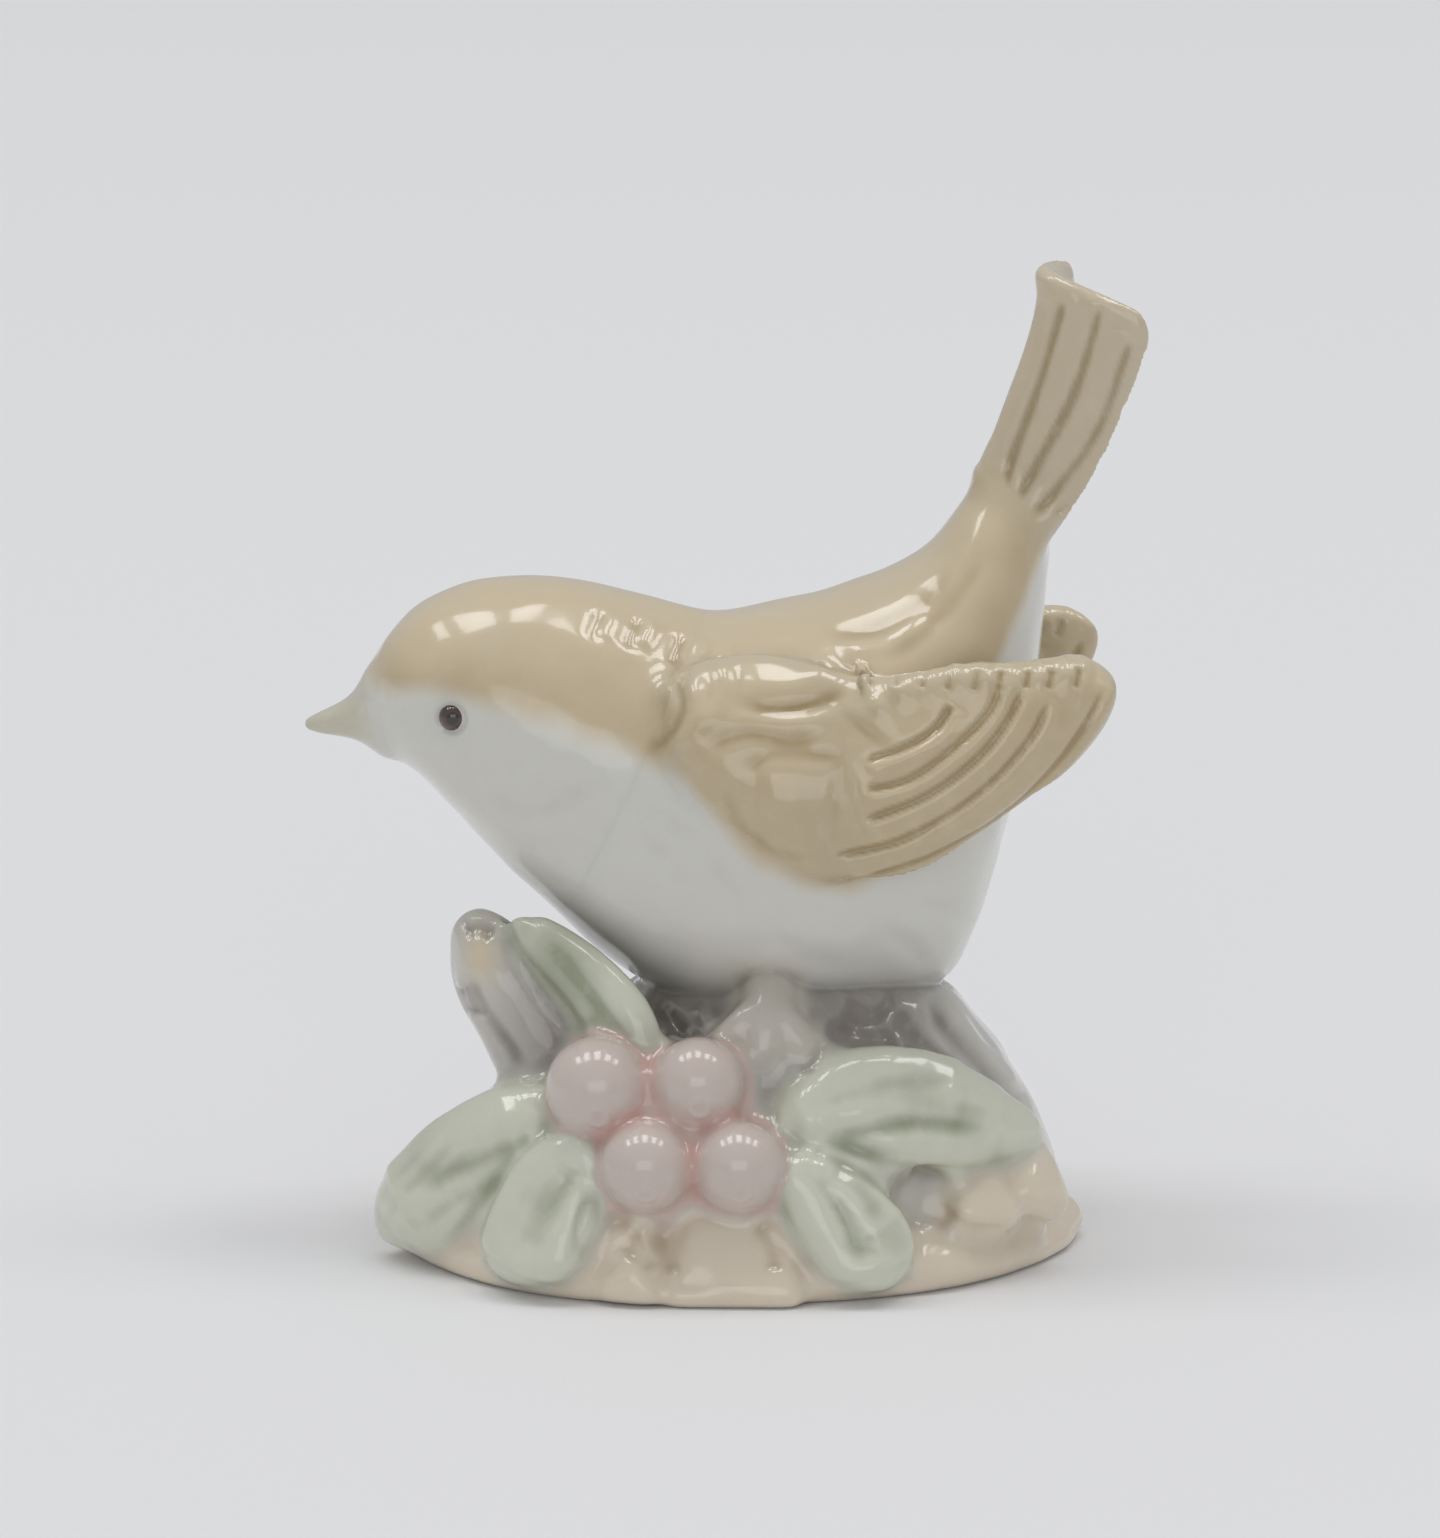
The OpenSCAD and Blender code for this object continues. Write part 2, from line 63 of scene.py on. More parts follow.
def cad_mesh(name):
    """Corner points in millimetres and triangles of a CAD node."""
    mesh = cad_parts[name].data
    mesh.calc_loop_triangles()
    points = np.empty(len(mesh.vertices) * 3, np.float32)
    mesh.vertices.foreach_get("co", points)
    triangles = np.empty(len(mesh.loop_triangles) * 3, np.int32)
    mesh.loop_triangles.foreach_get("vertices", triangles)
    return points.reshape(-1, 3) * MM, triangles.reshape(-1, 3)


def field_of(points, triangles=None, quads=None):
    """(lowest cell, distances) round a closed mesh, negative inside."""
    cells = (points / PITCH).astype(np.float32)
    low = np.floor(cells.min(0)).astype(int) - BAND
    high = np.ceil(cells.max(0)).astype(int) + BAND
    faces = {}
    if triangles is not None:
        faces["triangles"] = np.ascontiguousarray(triangles, dtype=np.uint32)
    if quads is not None:
        faces["quads"] = np.ascontiguousarray(quads, dtype=np.uint32)
    grid = openvdb.FloatGrid.createLevelSetFromPolygons(
        np.ascontiguousarray(cells), transform=openvdb.createLinearTransform(1.0),
        exBandWidth=BAND, inBandWidth=BAND, **faces)
    values = np.empty(tuple(high - low), np.float32)
    grid.copyToArray(values, ijk=tuple(int(v) for v in low))
    return low, values * PITCH


def ball_field(centre, radius):
    """The field of an exact ball."""
    low = np.floor((centre - radius) / PITCH).astype(int) - BAND
    high = np.ceil((centre + radius) / PITCH).astype(int) + BAND
    axes = [np.arange(a, b) * PITCH - c for a, b, c in zip(low, high, centre)]
    x, y, z = np.meshgrid(*axes, indexing="ij", sparse=True)
    values = np.sqrt(x * x + y * y + z * z) - radius
    return low, np.clip(values, -BAND * PITCH, BAND * PITCH).astype(np.float32)


def skin_of(low, values):
    """Points in millimetres and quads of the zero surface of a field."""
    grid = openvdb.FloatGrid(float(BAND * PITCH))
    grid.transform = openvdb.createLinearTransform(1.0)
    grid.copyFromArray(np.ascontiguousarray(values), ijk=tuple(int(v) for v in low))
    points, quads = grid.convertToQuads(0.0)
    return points.astype(np.float64) * PITCH, quads.astype(np.int64)


def blur(values, spread):
    """A Gaussian blur, spread in millimetres."""
    sigma = spread / PITCH
    reach = max(1, int(math.ceil(3 * sigma)))
    weights = np.exp(-0.5 * (np.arange(-reach, reach + 1) / sigma) ** 2)
    weights /= weights.sum()
    for axis in range(3):
        pads = [(reach, reach) if a == axis else (0, 0) for a in range(3)]
        wide = np.pad(values, pads, mode="edge")
        out = np.zeros_like(values)
        for k, w in enumerate(weights):
            part = [slice(None)] * 3
            part[axis] = slice(k, k + values.shape[axis])
            out += np.float32(w) * wide[tuple(part)]
        values = out
    return values


def melt(a, b, soft):
    """Union of two fields with a fillet of about soft millimetres where they meet."""
    if np.ndim(soft) == 0 and soft <= 0:
        return np.minimum(a, b)
    overlap = np.maximum(soft - np.abs(a - b), 0) / soft
    return np.minimum(a, b) - overlap * overlap * (soft / 4)


def add(total, part, soft):
    """Melts a small field into a larger one in place."""
    low, values = part
    first = np.maximum(low, total[0])
    last = np.minimum(low + values.shape, total[0] + total[1].shape)
    there = tuple(slice(a, b) for a, b in zip(first - total[0], last - total[0]))
    here = tuple(slice(a, b) for a, b in zip(first - low, last - low))
    if isinstance(soft, str):
        soft = wing_fillet(first, total[1][there].shape)
    total[1][there] = melt(total[1][there], values[here], soft)


def empty_field(parts):
    """A field of nothing that holds all parts."""
    low = np.min([p[0] for p in parts], axis=0)
    high = np.max([p[0] + p[1].shape for p in parts], axis=0)
    return low, np.full(tuple(high - low), BAND * PITCH, np.float32)


def fill_hollows(low, values):
    """Fills cavities that open only by a pinhole, which no one sees, and measures the distances again."""
    step = 3
    pinhole = 1.7
    free = values[::step, ::step, ::step] > pinhole
    reached = np.zeros_like(free)
    for axis in range(3):
        for end in (0, -1):
            part = [slice(None)] * 3
            part[axis] = end
            reached[tuple(part)] = free[tuple(part)]
    count = -1
    while reached.sum() != count:
        count = reached.sum()
        for axis in range(3):
            for shift in (1, -1):
                reached |= np.roll(reached, shift, axis) & free
    hollow = free & ~reached
    for axis in (0, 1, 2, 0, 1, 2):
        hollow = hollow | np.roll(hollow, 1, axis) | np.roll(hollow, -1, axis)
    wide = hollow.repeat(step, 0).repeat(step, 1).repeat(step, 2)
    values = values.copy()
    values[wide[tuple(slice(0, n) for n in values.shape)]] = -BAND * PITCH
    points, quads = skin_of(low, values)
    return field_of(points, quads=quads)


def sample(field, points):
    """A field's values at points in millimetres, and nothing's value outside it."""
    low, values = field
    where = points / PITCH - low
    top = np.array(values.shape) - 1.001
    inside = ((where >= 0) & (where <= top)).all(1)
    out = np.full(len(points), BAND * PITCH, np.float32)
    w = where[inside]
    i = np.floor(w).astype(int)
    f = (w - i).astype(np.float32)
    total = 0
    for dx in (0, 1):
        for dy in (0, 1):
            for dz in (0, 1):
                share = (np.abs(1 - dx - f[:, 0]) * np.abs(1 - dy - f[:, 1]) * np.abs(1 - dz - f[:, 2]))
                total = total + share * values[i[:, 0] + dx, i[:, 1] + dy, i[:, 2] + dz]
    out[inside] = total
    return out


def slope(field, points):
    """Gradient of a field at points."""
    h = 0.5 * PITCH
    columns = []
    for axis in range(3):
        step = np.zeros(3)
        step[axis] = h
        columns.append((sample(field, points + step) - sample(field, points - step)) / (2 * h))
    return np.stack(columns, 1)


# ---------- the melted solid ----------

SOLID_NODES = [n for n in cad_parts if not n.endswith("_eye")]
fields = {}
for name in SOLID_NODES:
    if name.startswith("berry"):
        lo, hi = (np.array(c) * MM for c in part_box(name))
        fields[name] = ball_field((lo + hi) / 2, float((hi - lo).mean()) / 2)
    else:
        fields[name] = field_of(*cad_mesh(name))


def grown(names, spread, grow=0.0, filled=False):
    """The softened union of some nodes, grown outwards to make up for what softening takes off."""
    parts = [fields[n] for n in names]
    total = empty_field(parts)
    for part in parts:
        add(total, part, 0)
    if "ground_base" in names:
        block_vent(total)
    if filled:
        total = fill_hollows(*total)
    return total[0], blur(total[1], spread) - np.float32(grow)


VENT = (4.5 + CENTRE[0], CENTRE[1])   # middle of the firing vent
VENT_R = 4.0
POCKET = (14.0, 9.0)                  # height and radius of the hollow above the vent


def lattice(total):
    """Sparse coordinates of a field's cells."""
    axes = [(np.arange(n) + a) * PITCH for a, n in zip(total[0], total[1].shape)]
    return np.meshgrid(*axes, indexing="ij", sparse=True)


def block_vent(total):
    """Plugs the firing vent while the base is softened."""
    x, y, z = lattice(total)
    plug = (np.hypot(x - VENT[0], y - VENT[1]) < VENT_R + 1.5) & (z > 0.4) & (z < 8.5)
    total[1][plug] = np.minimum(total[1][plug], -1.5)


def carve_vent(total):
    """Opens the vent and the hollow above it, and cuts the underside flat."""
    x, y, z = lattice(total)
    across = np.hypot(x - VENT[0], y - VENT[1])
    tube = np.maximum(across - VENT_R, z - POCKET[0])
    ball = np.sqrt(across ** 2 + (z - POCKET[0]) ** 2) - POCKET[1]
    hole = melt(tube, ball, 1.0)
    np.copyto(total[1], -melt(-total[1], hole.astype(np.float32), 0.8))
    np.copyto(total[1], np.maximum(total[1], (-z).astype(np.float32)))


LEAVES = ["upper_leaf", "left_leaf", "front_left_leaf", "front_right_leaf", "right_leaf"]
STONES = ["front_stone", "stone_chip_upper", "stone_chip_lower", "pebble_large", "pebble_small"]
BERRIES = ["berry_upper_left", "berry_upper_right", "berry_lower_left", "berry_lower_right"]
# Groups in the order they are melted on: nodes, softening, growth, whether hollow, fillet
BIRD_GROUPS = [
    (["body_shell", "head_shell"], 1.6, 0.12, True, 0.0),
    (["beak"], 0.4, 0.22, False, 3.6),
    (["tail"], 0.6, 0.35, False, 4.0),
    (["left_wing"], 0.9, 0.35, False, "wing"),
    (["right_wing"], 0.9, 0.35, False, "wing"),
]
BASE_GROUPS = [
    (["ground_base", "stump"], 1.2, 0.1, True, 1.2),
    (["branch_stub"], 0.6, 0.1, False, 2.6),
    (["left_foot"], 0.8, 0.2, False, 2.6),
    (["right_foot"], 0.8, 0.2, False, 2.6),
]
BASE_GROUPS += [([n], 0.55, 0.15, False, 1.2) for n in LEAVES]
BASE_GROUPS += [([n], 0.6, 0.2, False, 1.2) for n in STONES]
# Slip and glaze fill the gaps that a ball can't enter, up to some depth under the ball: radius and depth
BED = (2.4, 0.55)
BERRY_BED = (3.0, 0.95)
GLAZE_POOL = (0.6, 0.0)


def wing_fillet(low, shape):
    """The shoulder flows into the body, and the rest of a wing lies on it with a clear edge."""
    x = (np.arange(shape[0]) + low[0]) * PITCH - CENTRE[0]
    forward = np.clip((15.0 - x) / 13.0, 0, 1)
    return (1.3 + 3.2 * forward ** 2 * (3 - 2 * forward))[:, None, None].astype(np.float32)


def assembled(groups):
    total = empty_field([fields[n] for names, *_ in groups for n in names])
    for names, spread, grow, filled, soft in groups:
        add(total, grown(names, spread, grow, filled), soft)
    return total


def bedded(total, radius, depth):
    """The field with its narrow gaps filled, softly."""
    skin, faces = skin_of(total[0], total[1] - np.float32(radius))
    low, grown_out = field_of(skin, quads=faces)
    add(total, (low, blur(grown_out + np.float32(radius + depth), 0.35)), 0.4)
    return total


bird = assembled(BIRD_GROUPS)
base = bedded(assembled(BASE_GROUPS), *BED)
for name in BERRIES:
    add(base, fields[name], 0.4)
base = bedded(bedded(base, *BERRY_BED), *GLAZE_POOL)
melted = empty_field([bird, base])
add(melted, bird, 0)
add(melted, base, 1.0)
carve_vent(melted)

points, quads = skin_of(*melted)
for _ in range(2):
    pull = slope(melted, points)
    size = np.maximum((pull ** 2).sum(1), 0.05)
    points -= pull * np.clip(sample(melted, points) / size, -0.2, 0.2)[:, None]


def components(count, pairs):
    """The lowest member of each connected component."""
    root = np.arange(count)
    while True:
        low = np.minimum(root[pairs[:, 0]], root[pairs[:, 1]])
        before = root.copy()
        np.minimum.at(root, pairs[:, 0], low)
        np.minimum.at(root, pairs[:, 1], low)
        root = root[root]
        if (root == before).all():
            return root


def normals_of(points, quads):
    """Area-weighted unit normals of the points."""
    a, b, c, d = (points[quads[:, k]] for k in range(4))
    face = np.cross(c - a, d - b)
    total = np.zeros_like(points)
    for axis in range(3):
        for k in range(4):
            total[:, axis] += np.bincount(quads[:, k], face[:, axis], len(points))
    return total / np.maximum(np.linalg.norm(total, axis=1), 1e-9)[:, None]


roots = components(len(points), np.concatenate([quads[:, [0, 1]], quads[:, [1, 2]], quads[:, [2, 3]]]))
main_root = np.bincount(roots).argmax()
quads = quads[roots[quads[:, 0]] == main_root]
used, compact = np.unique(quads, return_inverse=True)
points, quads = points[used], compact.reshape(-1, 4)
normals = normals_of(points, quads)
if (np.einsum("ij,ij->i", normals, slope(melted, points)).mean()) < 0:
    quads = quads[:, ::-1]
    normals = -normals
print("skin", len(points), "points", len(quads), "quads")

# ---------- which piece each face belongs to ----------

piece_names = list(SOLID_NODES)
gaps = np.stack([sample(fields[n], points) for n in piece_names])
face_label = sum(gaps[:, quads[:, k]] for k in range(4)).argmin(0)
gap = dict(zip(piece_names, gaps))


SPECK = 150            # patches of fewer faces than this join their neighbours
SPECK_ROUNDS = 3


def tidy_labels(label):
    """Gives specks of a few faces to the piece round them."""
    heads = quads.reshape(-1)
    tails = np.roll(quads, -1, 1).reshape(-1)
    owner = np.repeat(np.arange(len(quads)), 4)
    order = np.argsort(heads * len(points) + tails)
    key = (heads * len(points) + tails)[order]
    other = owner[order][np.searchsorted(key, tails * len(points) + heads) % len(key)]
    for _ in range(SPECK_ROUNDS):
        same = label[owner] == label[other]
        root = components(len(quads), np.stack([owner[same], other[same]], 1))
        size = np.bincount(root, minlength=len(quads))[root]
        speck = (size[owner] < SPECK) & ~same & (size[other] >= SPECK)
        if not speck.any():
            break
        label = label.copy()
        label[owner[speck]] = label[other[speck]]
    return label


face_label = tidy_labels(face_label)

# ---------- sculpted relief ----------

q = points - CENTRE                     # the bird's own frame


def ramp(v, start, end):
    """0 before start, 1 after end, smooth between."""
    t = np.clip((v - start) / (end - start), 0, 1)
    return t * t * (3 - 2 * t)


def near(names, start, end):
    """1 on the named nodes, 0 at start millimetres and more away from them."""
    return ramp(np.min([gap[n] for n in names], axis=0), start, end)


def share(names, soft):
    """How much of the nearest clay belongs to the named nodes, from 0 to 1, changing over about soft millimetres."""
    nearest = np.min([gap[n] for n in piece_names], axis=0)
    weights = {n: np.exp(-(gap[n] - nearest) / soft) for n in piece_names}
    return sum(weights[n] for n in names) / sum(weights.values())


def smooth(line, steps=5):
    """A Catmull-Rom curve through a line's corners."""
    line = np.array(line, float)
    wide = np.concatenate([[2 * line[0] - line[1]], line, [2 * line[-1] - line[-2]]])
    out = []
    for a, b, c, d in zip(wide, wide[1:], wide[2:], wide[3:]):
        for t in np.arange(steps) / steps:
            out.append(0.5 * (2 * b + (c - a) * t + (2 * a - 5 * b + 4 * c - d) * t * t
                              + (3 * b - a - 3 * c + d) * t ** 3))
    return np.array(out + [line[-1]])


def along(line, chosen, first=0, second=2):
    """Distance of the chosen points from a line seen square on, and how far along it they lie, from 0 to 1."""
    line = np.array(line, float)
    p = q[chosen][:, [first, second]]
    lengths = np.linalg.norm(np.diff(line, axis=0), axis=1)
    begin = np.concatenate([[0], np.cumsum(lengths)])
    best = np.full(len(p), 1e9)
    place = np.zeros(len(p))
    for a, b, size, start in zip(line, line[1:], lengths, begin):
        t = np.clip(((p - a) @ (b - a)) / size ** 2, 0, 1)
        d = np.linalg.norm(p - a - t[:, None] * (b - a), axis=1)
        closer = d < best
        best = np.where(closer, d, best)
        place = np.where(closer, (start + t * size) / begin[-1], place)
    return best, place


def wave(points, length, seed, count=14):
    """Smooth noise between about -1 and 1 with ripples of about that length."""
    random = np.random.default_rng(seed)
    way = random.normal(size=(count, 3))
    way /= np.linalg.norm(way, axis=1)[:, None]
    pace = 2 * math.pi / (length * random.uniform(0.7, 1.5, count))
    turn = random.uniform(0, 2 * math.pi, count)
    return np.sin(points @ (way * pace[:, None]).T + turn).sum(1) / math.sqrt(count / 2) / 1.6


# The pressed tail feathers spread beyond the plain plate, most of all at the root
TAIL_MIDDLE = (31.8, 82.6)
TAIL_ACROSS = np.array([0.90, 0.0, -0.43])
SPREAD = ([74, 78, 83, 92, 99], [0.0, 0.26, 0.33, 0.2, 0.16])
off_axis = (q[:, 0] - TAIL_MIDDLE[0]) * TAIL_ACROSS[0] + (q[:, 2] - TAIL_MIDDLE[1]) * TAIL_ACROSS[2]
widened = share(["tail"], 0.8) * np.interp(q[:, 2], *SPREAD) * off_axis
points = points + widened[:, None] * TAIL_ACROSS
normals = normals_of(points, quads)

raised = np.zeros(len(points))          # how far each point moves out, in millimetres
pool_and_shade = np.zeros(len(points))            # where colour has pooled in a groove, and, added further on, where shade is painted


def stroke(weight, line, width, height, ink=0.0, fade=0.15, beads=0):
    """Presses a line into the skin, or raises it, where weight is above 0. fade is the part of each end that tapers."""
    line = smooth(line)
    low, high = line.min(0) - 3 * width, line.max(0) + 3 * width
    inside = (q[:, 0] > low[0]) & (q[:, 0] < high[0]) & (q[:, 2] > low[1]) & (q[:, 2] < high[1])
    chosen = np.flatnonzero(inside & (weight > 0.01))
    if not len(chosen):
        return
    d, place = along(line, chosen)
    profile = np.exp(-(d / width) ** 2) * weight[chosen] * (0.92 + 0.18 * wave(q[chosen], 8.0, 11))
    if fade > 0:
        profile *= ramp(place, 0, fade) * ramp(1 - place, 0, fade)
    if beads:
        profile *= 0.55 + 0.45 * np.cos(2 * math.pi * beads * place)
    raised[chosen] += height * profile
    pool_and_shade[chosen] = np.maximum(pool_and_shade[chosen], ink * profile)


def groove(weight, line, width=0.6, depth=0.45, ink=0.8, fade=0.12):
    stroke(weight, line, width, -depth, ink, fade)
    stroke(weight, line, 3 * width, 0.35 * depth, 0.0, 0.02)


sideways = ramp(np.abs(normals[:, 1]), 0.15, 0.4)
to_front = ramp(-normals[:, 1], 0.0, 0.3)
wings = share(["left_wing", "right_wing"], 0.4)
on_bird = share(["body_shell", "head_shell", "left_wing", "right_wing"], 0.4)
on_tail = share(["tail"], 0.5)

# All lines below are corners (x, z) in the bird's frame, drawn through its side
WING_GROOVES = [
    [(12.2, 41.8), (21.0, 45.0), (28.5, 49.3), (34.2, 55.6), (37.7, 61.6)],
    [(9.8, 44.6), (17.2, 46.6), (24.7, 51.0), (29.7, 56.1), (32.0, 60.4)],
    [(13.0, 48.2), (19.7, 51.1), (24.7, 54.8), (27.8, 58.6), (29.2, 61.6)],
    [(13.0, 51.3), (17.9, 52.6), (22.8, 56.1), (25.9, 59.2), (27.0, 62.0)],
    [(13.3, 54.2), (17.2, 55.5), (20.4, 57.4), (22.3, 60.0)],
]
for line in WING_GROOVES:
    groove(wings * sideways, line, 0.5, 0.42, 0.6, 0.1)
    stroke(wings * sideways, [(a + 0.55, b - 0.75) for a, b in line], 0.7, 0.2, 0, 0.05)
# The rounded roots of the flight feathers, along the wing's upper edge
COVERT_ROLL = [(13.2, 57.0), (15.4, 60.0), (18.0, 61.4), (21.0, 62.2), (25.5, 62.2), (30.9, 62.2), (36.6, 62.2)]
stroke(wings, COVERT_ROLL, 2.2, 0.55, 0, 0.06)
stroke(wings * sideways, COVERT_ROLL, 1.1, 0.32, 0, 0.06, beads=9)
for k in range(8):
    x0 = 17.2 + 2.5 * k + 0.5 * math.sin(3.1 * k)
    stroke(wings * sideways, [(x0, 62.8), (x0 - 0.5, 60.9)], 0.42, -0.3, 0.3, 0.2)
stroke(on_bird * sideways, [(13.2, 49.5), (12.6, 54.0), (13.2, 58.0)], 1.1, 0.15, 0, 0.3)

# Feathers of the shoulder and rump: line, half width, height or depth, and how much colour pools in it
SHOULDER = [
    ([(0.5, 59.6), (4.0, 59.0), (8.5, 59.4), (12.6, 61.0)], 0.8, -0.36, 0.6),
    ([(-3.0, 55.0), (1.5, 56.8), (6.0, 56.2), (10.1, 56.8)], 1.1, -0.24, 0.5),
    ([(-2.4, 57.2), (2.5, 58.2), (7.5, 57.8), (11.8, 59.0)], 1.1, 0.2, 0.0),
    ([(0.6, 61.6), (6.0, 61.2), (11.5, 62.8)], 1.2, 0.4, 0.0),
    ([(13.0, 61.4), (14.0, 61.7)], 1.0, 0.8, 0.0),
    ([(2.6, 50.4), (7.0, 50.6), (11.0, 50.0)], 4.2, 0.45, 0.0),
    ([(0.0, 53.0), (5.0, 54.8), (12.2, 54.4)], 1.0, -0.22, 0.3),
    ([(-0.6, 52.6), (0.6, 48.4), (4.4, 45.2), (9.5, 44.2)], 1.0, -0.18, 0.2),
    ([(-6.0, 62.8), (-4.8, 58.6), (-8.6, 52.8)], 0.8, -0.3, 0.4),
    ([(-4.4, 62.6), (-3.2, 58.4), (-6.4, 52.6)], 1.1, 0.35, 0.0),
    ([(-1.4, 64.0), (-0.4, 60.6), (-3.0, 56.4)], 1.0, 0.35, 0.0),
    ([(-9.6, 51.0), (-4.6, 48.8), (-0.6, 45.2), (2.6, 42.0)], 1.2, 0.3, 0.0),
    ([(-8.0, 48.2), (-5.6, 45.0), (-6.6, 41.6)], 1.4, 0.3, 0.0),
    ([(8.0, 65.4), (13.0, 65.6), (19.0, 68.0), (24.0, 73.0)], 1.0, -0.28, 0.35),
    ([(14.0, 63.4), (18.0, 65.0), (22.6, 69.0), (26.4, 74.0)], 1.2, -0.32, 0.3),
    ([(10.5, 64.0), (16.0, 64.6), (20.6, 67.4)], 0.9, 0.3, 0.0),
]
# Middles of the notches between the feather tips on the nape
NOTCHES = [(-13.4, 65.8), (-9.6, 65.0), (-5.2, 63.4)]
for a, b in NOTCHES:
    SHOULDER.append(([(a + 0.5, b + 1.4), (a, b), (a - 0.9, b - 1.5)], 0.8, -0.26, 0.12))
    SHOULDER.append(([(a + 1.9, b + 1.2), (a + 1.5, b), (a + 0.5, b - 1.3)], 1.0, 0.22, 0.0))
for line, width, height, ink in SHOULDER:
    stroke(on_bird * sideways, line, width, height, ink, 0.25)
# Soft feather edges on cheek, breast and flank: line, half width, height or depth
PLUMAGE = [
    ([(-26.1, 49.7), (-21.1, 47.6), (-16.0, 49.0), (-12.4, 52.4)], 1.4, -0.28),
    ([(-27.4, 47.9), (-22.0, 45.8), (-15.6, 46.8)], 1.4, 0.2),
    ([(-10.0, 47.5), (-6.0, 44.0), (-4.4, 40.0)], 1.2, -0.22),
    ([(-3.0, 44.5), (0.6, 40.5), (1.2, 36.6)], 1.2, -0.22),
    ([(4.0, 36.5), (8.0, 33.0), (13.0, 31.6)], 1.3, -0.2),
    ([(14.6, 36.5), (18.6, 33.5), (21.0, 29.6)], 1.3, -0.22),
    ([(18.0, 40.0), (23.0, 37.0), (26.0, 33.0)], 1.2, -0.2),
]
for line, width, height in PLUMAGE:
    stroke(share(["body_shell", "head_shell"], 0.5) * sideways, line, width, height, 0.12, 0.3)

TAIL_GROOVES = [
    [(34.4, 98.8), (31.6, 89.0), (28.4, 79.9), (27.0, 76.4)],
    [(37.7, 98.6), (34.8, 89.3), (30.4, 80.2), (28.2, 75.6)],
    [(40.2, 95.4), (36.8, 86.4), (32.3, 79.0), (29.4, 74.4)],
]
for line in TAIL_GROOVES:
    groove(on_tail * ramp(np.abs(normals[:, 1]), 0.05, 0.25), line, 0.5, 0.42, 0.6, 0.1)
for k in range(4):
    height = 77.5 + 5.2 * k
    x = np.interp(height, [74.4, 79.0, 86.4, 95.4], [29.4, 32.3, 36.8, 40.2])
    stroke(on_tail, [(x + 0.9, height - 0.9), (x + 2.6, height + 1.0)], 0.45, -0.2, 0.25, 0.3)

# A fold is a broad trough with a crease along it: leaf, line, half width and depth of the trough
LEAF_FOLDS = [
    ("left_leaf", [(-34.0, 6.6), (-29.6, 11.0), (-24.0, 13.8), (-18.1, 16.0)], 1.5, 0.75),
    ("left_leaf", [(-33.4, 2.6), (-30.3, 6.4), (-25.2, 10.0), (-19.0, 12.4)], 1.9, 0.6),
    ("front_left_leaf", [(-20.9, 2.6), (-19.0, 8.5), (-16.4, 12.4), (-12.9, 15.8)], 2.1, 0.9),
    ("front_left_leaf", [(-15.8, 3.4), (-15.0, 8.0), (-13.0, 12.6)], 0.9, 0.35),
    ("right_leaf", [(6.1, 17.8), (11.1, 20.4), (17.1, 21.4), (24.1, 20.4)], 1.4, 0.55),
    ("right_leaf", [(6.1, 17.0), (12.1, 17.0), (20.1, 17.6), (28.1, 15.8)], 1.5, 0.75),
    ("right_leaf", [(8.1, 15.6), (14.1, 14.8), (20.1, 14.6)], 1.1, 0.3),
    ("front_right_leaf", [(6.1, 14.9), (8.9, 12.6), (11.4, 9.8), (12.8, 6.6), (13.9, 2.9)], 1.6, 0.75),
    ("front_right_leaf", [(8.6, 15.2), (13.2, 12.0), (15.9, 7.6)], 0.9, 0.3),
    ("upper_leaf", [(-20.6, 36.2), (-16.4, 32.4), (-12.4, 27.4), (-8.6, 22.2)], 1.3, 0.6),
]
for name, line, width, depth in LEAF_FOLDS:
    stroke(share([name], 0.6), line, 1.45 * width, -1.5 * depth, 0.4, 0.3)
    stroke(share([name], 0.6), line, 0.9, -0.2 * depth, 0.3, 0.38)
    stroke(share([name], 0.6), line, 3.0 * width, 0.7 * depth, 0.0, 0.1)

# Furrows and ridges of stump and branch: line, half width, height or depth
BARK = [
    ([(19.6, 28.0), (23.4, 23.4), (27.5, 18.4), (31.0, 13.4)], 1.0, -0.8),
    ([(16.4, 27.4), (20.6, 22.8), (23.6, 20.4)], 1.1, -0.8),
    ([(21.6, 28.2), (26.0, 22.0), (31.0, 16.0)], 0.8, 0.5),
    ([(9.6, 27.0), (13.4, 24.6), (17.6, 24.0)], 1.2, -0.7),
    ([(18.4, 13.0), (20.4, 12.2), (22.6, 12.6)], 1.3, -0.9),
    ([(24.6, 16.4), (26.0, 12.6), (29.0, 11.6)], 1.0, -0.5),
    ([(-7.6, 27.4), (-5.0, 24.6), (-4.2, 21.4)], 0.9, -0.6),
    ([(-3.4, 27.6), (-1.2, 24.8), (-1.6, 22.0)], 0.8, 0.5),
    ([(6.8, 27.4), (8.6, 24.4), (7.6, 21.6)], 0.9, -0.6),
    ([(11.0, 28.0), (14.6, 26.6), (17.4, 28.2)], 0.9, -0.55),
    ([(-27.0, 30.5), (-24.0, 25.6), (-20.4, 21.0)], 1.0, -0.5),
    ([(-22.4, 33.8), (-19.6, 28.6), (-16.0, 23.6)], 0.9, 0.45),
    ([(-27.4, 34.4), (-25.4, 35.0), (-23.6, 34.2)], 1.0, -0.5),
    ([(-27.8, 28.6), (-26.6, 27.4), (-26.0, 25.6)], 1.2, -0.7),
]
